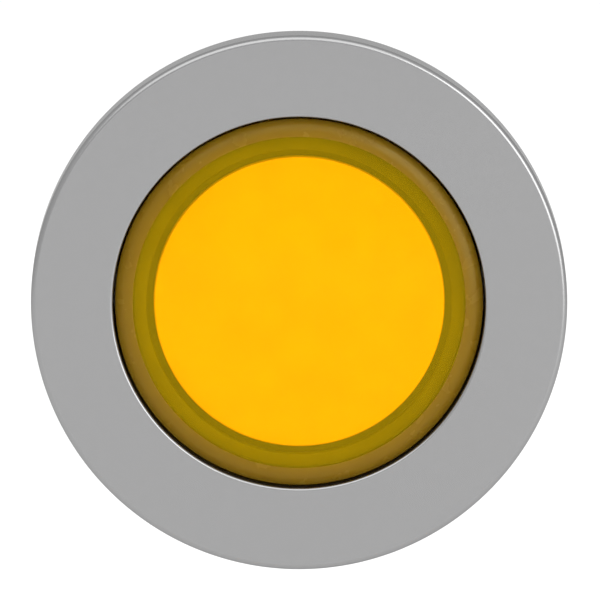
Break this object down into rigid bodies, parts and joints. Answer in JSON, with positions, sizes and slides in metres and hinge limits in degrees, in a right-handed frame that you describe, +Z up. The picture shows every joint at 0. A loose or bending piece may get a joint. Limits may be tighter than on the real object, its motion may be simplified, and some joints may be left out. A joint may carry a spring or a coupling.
{
  "type": "illuminated push button",
  "caption": "Flush round push button with a flat metal bezel and a translucent amber lens, held in a panel hole by a threaded barrel and ring nut, with a light and switch module behind.",
  "frame": {"origin": "on the button's axis, at the panel's front face, which is the gasket's rear face", "axes": "+Z up, the button faces -Y, +Y runs back through the panel along the button's axis"},
  "size_m": [0.036, 0.0476, 0.036],
  "materials": {
    "satin_chrome": "satin chrome plate on cast zinc, even grey with bright broken edges",
    "zinc": "plain cast and turned zinc alloy, matte",
    "steel": "zinc-plated steel, semi-bright",
    "spring_steel": "bright drawn spring wire",
    "contact_brass": "bright brass strip",
    "rubber": "black nitrile rubber, matte",
    "amber_lens": "translucent amber polycarbonate, glossy",
    "diffuser": "bright orange light-spreading plastic, matte",
    "black_plastic": "black nylon, fine matte",
    "grey_plastic": "mid-grey nylon, fine matte",
    "green_plastic": "green nylon, smooth",
    "circuit_board": "green solder resist on glass epoxy",
    "led_clear": "water-clear lamp epoxy, glossy"
  },
  "bodies": {
    "head": {"bezel_ring": "satin_chrome", "threaded_barrel": "zinc", "panel_gasket": "rubber", "return_spring": "spring_steel", "wiper_seal": "rubber", "guide_bush": "black_plastic", "nc_contact_spring": "spring_steel", "module_housing": "black_plastic", "terminal_base": "grey_plastic", "assembly_screw_1": "steel", "assembly_screw_2": "steel", "terminal_strip_x1": "contact_brass", "terminal_clamp_x1": "steel", "terminal_screw_x1": "steel", "terminal_strip_x2": "contact_brass", "terminal_clamp_x2": "steel", "terminal_screw_x2": "steel", "terminal_strip_13": "contact_brass", "terminal_clamp_13": "steel", "terminal_screw_13": "steel", "terminal_strip_14": "contact_brass", "terminal_clamp_14": "steel", "terminal_screw_14": "steel", "terminal_strip_21": "contact_brass", "terminal_clamp_21": "steel", "terminal_screw_21": "steel", "terminal_strip_22": "contact_brass", "terminal_clamp_22": "steel", "terminal_screw_22": "steel", "led_lamp": "led_clear", "led_holder": "black_plastic", "led_board": "circuit_board", "led_resistor": "black_plastic"},
    "button": {"lens_cap": "amber_lens", "diffuser": "diffuser", "button_stem": "grey_plastic", "retaining_clip": "spring_steel", "contact_carrier": "green_plastic", "no_contact_spring": "spring_steel"},
    "no_bridge": {"no_contact_bridge": "contact_brass"},
    "nc_bridge": {"nc_contact_bridge": "contact_brass"},
    "washer": {"lock_washer": "steel"},
    "nut": {"panel_nut": "zinc"}
  },
  "joints": [
    {"name": "button_press", "type": "slide", "parent": "head", "child": "button", "axis": [0, 1, 0], "range_m": [0, 0.0043], "stiffness_N_per_m": 450, "springref_m": -0.008, "deforming": ["return_spring"]},
    {"name": "no_bridge_slide", "type": "slide", "parent": "head", "child": "no_bridge", "axis": [0, 1, 0], "range_m": [0, 0.0026], "deforming": ["no_contact_spring"]},
    {"name": "nc_bridge_slide", "type": "slide", "parent": "head", "child": "nc_bridge", "axis": [0, 1, 0], "range_m": [0, 0.0028], "deforming": ["nc_contact_spring"]},
    {"name": "washer_slide", "type": "slide", "parent": "head", "child": "washer", "axis": [0, 1, 0], "range_m": [-0.002, 0.003]},
    {"name": "nut_turn", "type": "hinge", "parent": "washer", "child": "nut", "pos_m": [0, 0.0065, 0], "axis": [0, 1, 0], "range_deg": [-480, 720]}
  ],
  "couplings": [
    {"joint": "no_bridge_slide", "follows": "button_press", "ratio": 0.60465},
    {"joint": "nc_bridge_slide", "follows": "button_press", "ratio": 0.65116},
    {"joint": "washer_slide", "follows": "nut_turn", "m_per_rad": 0.00023873}
  ]
}
